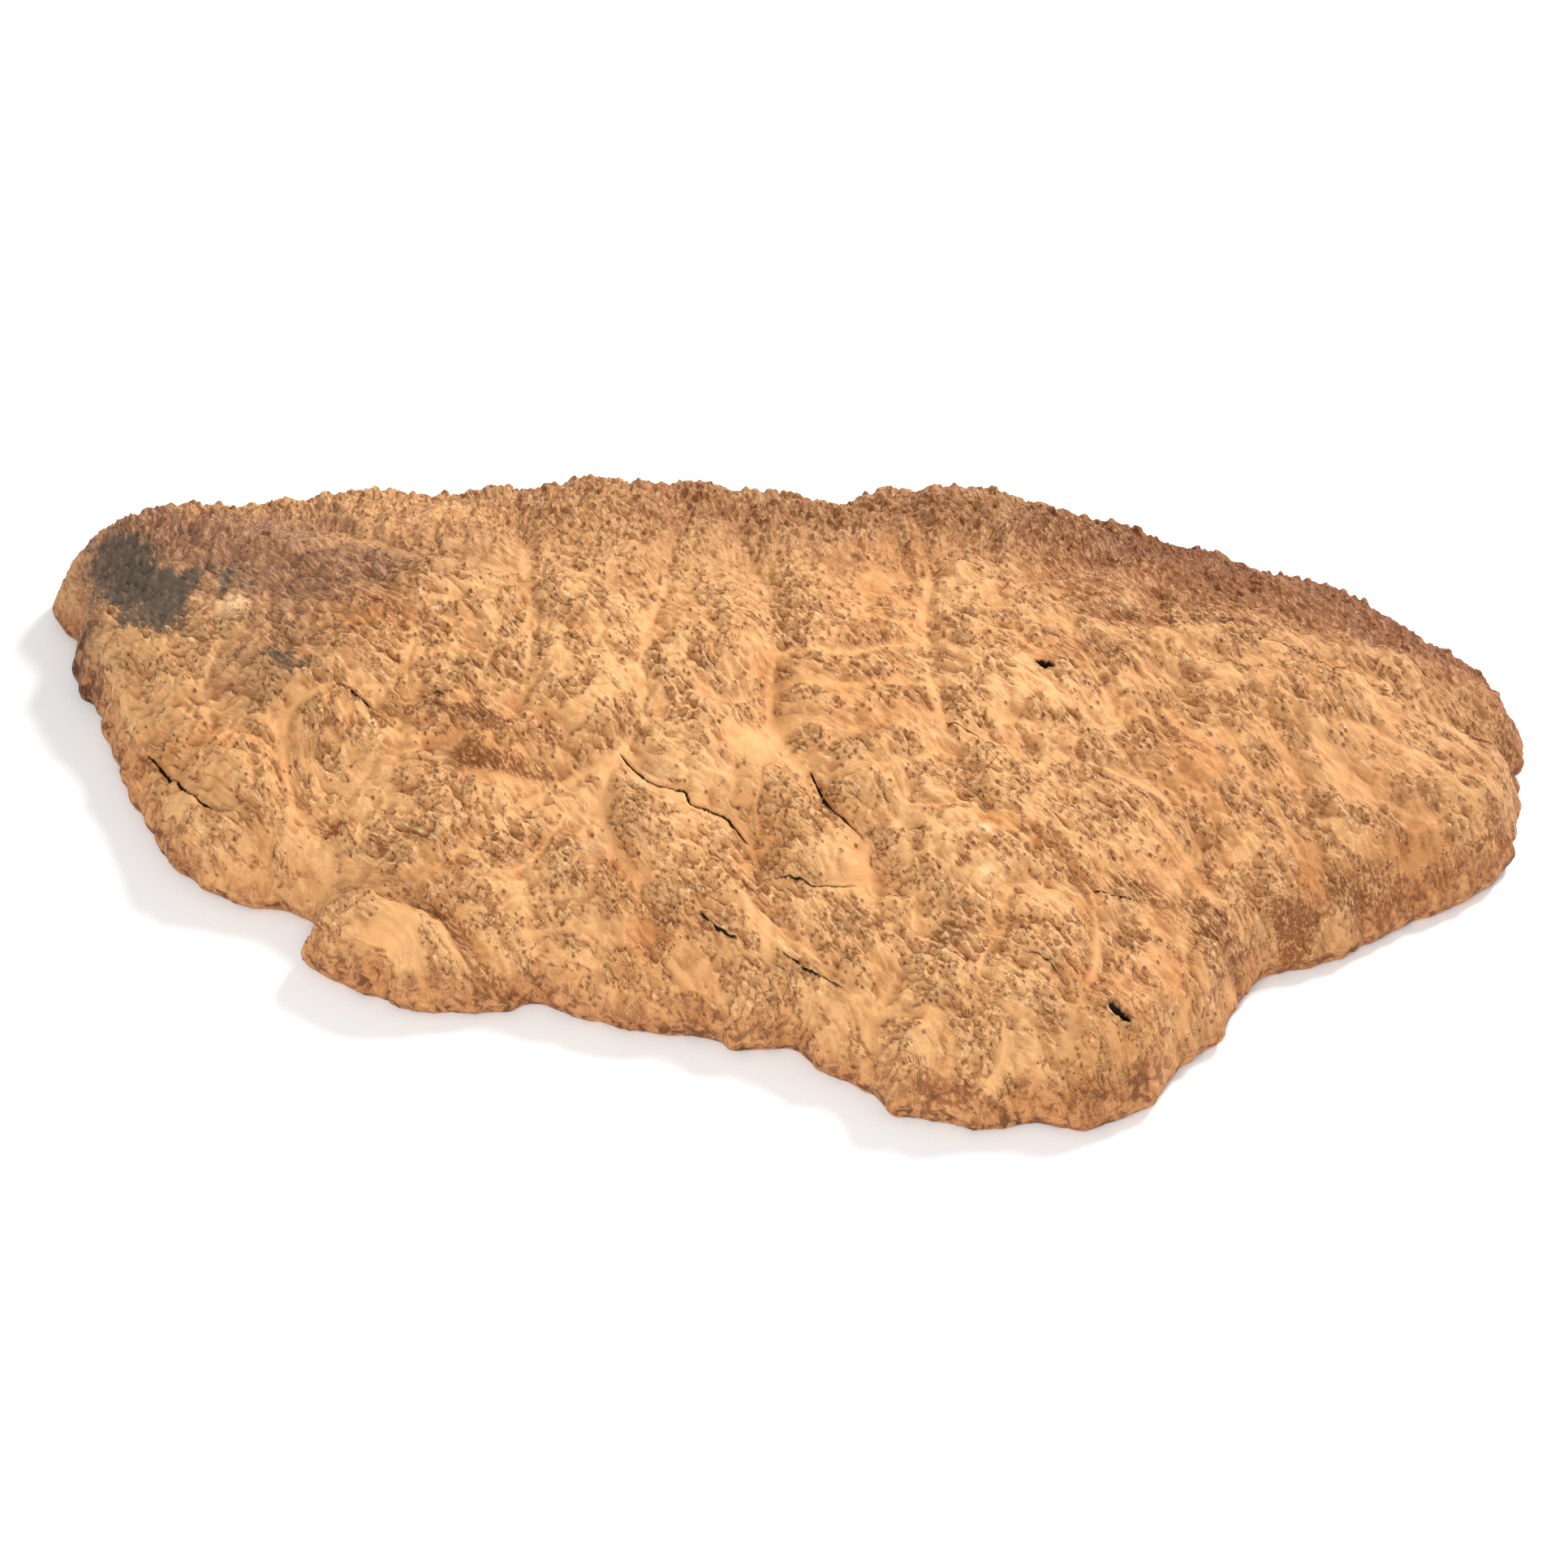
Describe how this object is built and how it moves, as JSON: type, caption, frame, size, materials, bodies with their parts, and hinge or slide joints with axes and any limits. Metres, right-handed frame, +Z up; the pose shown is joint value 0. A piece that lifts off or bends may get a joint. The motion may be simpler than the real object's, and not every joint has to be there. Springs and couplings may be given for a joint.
{
  "type": "burl cap",
  "caption": "Domed outside slab of a tree burl with bark removed: eye cones, smooth valleys, cracks and jagged live edge on a flat sawn back.",
  "frame": {"origin": "on the sawn underside, under the middle of the outline's bounding box", "axes": "+Z up out of the crown, +X along the cap to its rounded right end, +Y to the straight back edge"},
  "size_m": [0.9098, 0.564, 0.1267],
  "materials": {
    "burl_wood": "bare dry wood, matt to faintly silky, unfinished"
  },
  "bodies": {
    "root": {"burl_cap": "burl_wood"}
  },
  "joints": []
}
